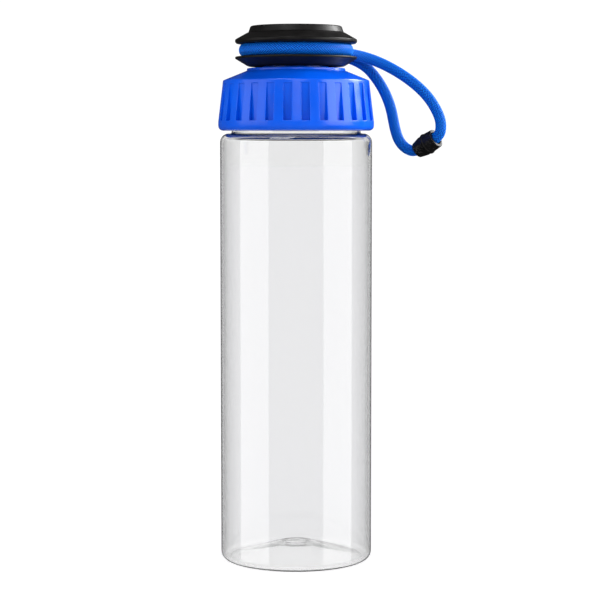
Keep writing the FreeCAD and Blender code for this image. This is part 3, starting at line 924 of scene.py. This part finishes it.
def make_lid():
    """The fluted lid with its sloping roof, threaded spout, plug lip and gasket seat."""
    taper = (SKIRT_RADIUS - LID_SHOULDER_RADIUS) / (LID_SHOULDER_HEIGHT - BEAD_HEIGHT)
    flute_levels = [FLUTE_HEIGHTS[0], 7.0, 10.0, 13.0, 16.0, 18.5, 20.3, FLUTE_HEIGHTS[1]]
    skirt = [(SKIRT_RADIUS - taper * (level - BEAD_HEIGHT), level) for level in flute_levels]
    plug_inside, plug_outside = PLUG_RADII
    outline = rounded(
        [
            (SKIRT_BORE, 0, 0.4),
            (SKIRT_RADIUS, 0, 2.2),
            (SKIRT_RADIUS, BEAD_HEIGHT - 0.3, 0.4),
            *skirt,
            (LID_SHOULDER_RADIUS, LID_SHOULDER_HEIGHT, 0.7),
            (COLLAR_RADIUS, 27.45, 0.3),
            (COLLAR_RADIUS, COLLAR_TOP, 0.4),
            (SPOUT_RADIUS, COLLAR_TOP, 0.3),
            (SPOUT_RADIUS, SPOUT_TOP, 0.8),
            (SPOUT_BORE, SPOUT_TOP, 0.8),
            (SPOUT_BORE, ROOF_UNDERSIDE, 0.8),
            (20.6, ROOF_UNDERSIDE, 2.0),
            (plug_inside, 23.8, 0.4),
            (plug_inside, PLUG_BOTTOM, 0.2),
            (plug_outside, PLUG_BOTTOM, 0.3),
            (plug_outside, SEAT_HEIGHT),
            (SKIRT_BORE, SEAT_HEIGHT),
        ],
        closed=True,
        steps=4,
    )
    outline = [point + Vector((0, LID_BOTTOM)) for point in outline]
    # A vertex of the ring stands at 90 degrees, and is to lie in the middle of a flute.
    turn = math.radians((LID_CLOCKING - 90) % (360 / FLUTES))
    lid = draw_up("fluted_lid", outline, FLUTES * COLUMNS, closed=True, turn=turn)
    press_flutes(lid)
    soften_edges(lid, 0.22)
    shift = LID_CLOCKING / 360
    for name, root, crest, thread, gap in (
        ("lid thread", SKIRT_BORE + THREAD_BITE, LID_THREAD_CREST, LID_THREAD, -0.25),
        ("spout thread", SPOUT_RADIUS - THREAD_BITE, SPOUT_THREAD_CREST, CAP_THREAD, 0),
    ):
        raised = (gap + shift) * thread["lead"]
        weld_on(lid, wind_thread(name, root, crest, thread, raised, LID_CLOCKING))
    finish_piece(lid, blue_plastic)
    return lid


# ---------------------------------------------------------------- cap

CAP_BOTTOM = 228.5
SOCKET_RADIUS = 16.45
SOCKET_DEPTH = 13.0
FLANGE_RADIUS = 28.0
FLANGE_TOP = 4.5
HUB_RADIUS = 21.3
HUB_TOP = 10.5
SPIGOT_RADIUS = 19.3
CORE_TOP = 14.5
CROWN_BORE = 19.35
CROWN_TOP = 4.9
COVER_BOSS_RADII = (16.5, 19.2)
COVER_TOP = 3.35
CAP_THREAD_CREST = 15.5


def turn_cap_part(name, bottom, corners, closed=False):
    """A round black part of the cap, drawn up from its outline's own bottom."""
    outline = [point + Vector((0, bottom)) for point in rounded(corners, closed)]
    return draw_up(name, outline, 180, closed)


def make_cap_core():
    """The threaded socket, lower flange and hub that the cord lies round."""
    core = turn_cap_part(
        "cap_hub",
        CAP_BOTTOM,
        [
            (0, SOCKET_DEPTH),
            (SOCKET_RADIUS, SOCKET_DEPTH, 0.5),
            (SOCKET_RADIUS, 0, 0.4),
            (22.0, 0, 3.0),
            (FLANGE_RADIUS, 3.6, 0.4),
            (FLANGE_RADIUS, FLANGE_TOP, 0.4),
            (HUB_RADIUS, FLANGE_TOP, 0.5),
            (HUB_RADIUS, HUB_TOP, 0.2),
            (SPIGOT_RADIUS, HUB_TOP),
            (SPIGOT_RADIUS, CORE_TOP, 0.3),
            (0, CORE_TOP),
        ],
    )
    root = SOCKET_RADIUS + THREAD_BITE
    raised = CAP_THREAD["lead"] / 4
    weld_on(core, wind_thread("cap thread", root, CAP_THREAD_CREST, CAP_THREAD, raised))
    finish_piece(core, black_plastic)
    return core


def make_cap_crown():
    """The cap's upper flange."""
    crown = turn_cap_part(
        "cap_top_flange",
        CAP_BOTTOM + HUB_TOP,
        [
            (CROWN_BORE, 0, 0.2),
            (FLANGE_RADIUS - 0.6, 0, 0.2),
            (FLANGE_RADIUS, 0.7, 0.3),
            (FLANGE_RADIUS, 1.8, 0.5),
            (22.5, CROWN_TOP, 0.3),
            (CROWN_BORE, CROWN_TOP, 0.2),
        ],
        closed=True,
    )
    finish_piece(crown, black_plastic)
    return crown


def make_cap_cover():
    """The low disc on top of the cap, with a ring below it that fits inside the crown."""
    inside, outside = COVER_BOSS_RADII
    cover = turn_cap_part(
        "cap_cover_disc",
        CAP_BOTTOM + HUB_TOP + CROWN_TOP,
        [
            (0, 1.3),
            (inside, 1.3, 0.3),
            (inside, -0.85),
            (outside, -0.85, 0.2),
            (outside, 0.05),
            (21.95, 0.05, 0.2),
            (20.9, 3.1, 1.0),
            (0.4, COVER_TOP),
            (0, COVER_TOP),
        ],
    )
    finish_piece(cover, black_plastic)
    return cover


bottle = make_bottle()
lid = make_lid()
cap_core = make_cap_core()
cap_crown = make_cap_crown()
cap_cover = make_cap_cover()

for node in ("lid_gasket", "spout_seal"):
    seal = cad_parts[node]
    seal.data.materials.clear()
    seal.data.materials.append(silicone)

for piece, body, node, slot in (
    (bottle, "bottle", "bottle_body", "clear_plastic"),
    (lid, "lid", "screw_lid", "blue_plastic"),
    (cap_core, "cap", "cap_core", "black_plastic"),
    (cap_crown, "cap", "cap_crown", "black_plastic"),
    (cap_cover, "cap", "cap_cover", "black_plastic"),
    (socket_half, "cord_loop", "connector_socket", "black_plastic"),
    (plug_half, "cord_loop", "connector_plug", "black_plastic"),
):
    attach(piece, body)
    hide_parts(node)

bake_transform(cord)
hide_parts("cord_turn", "cord_outer_leg", "cord_inner_leg")

set_up_lamps(floor, bottle)

deselect_all()
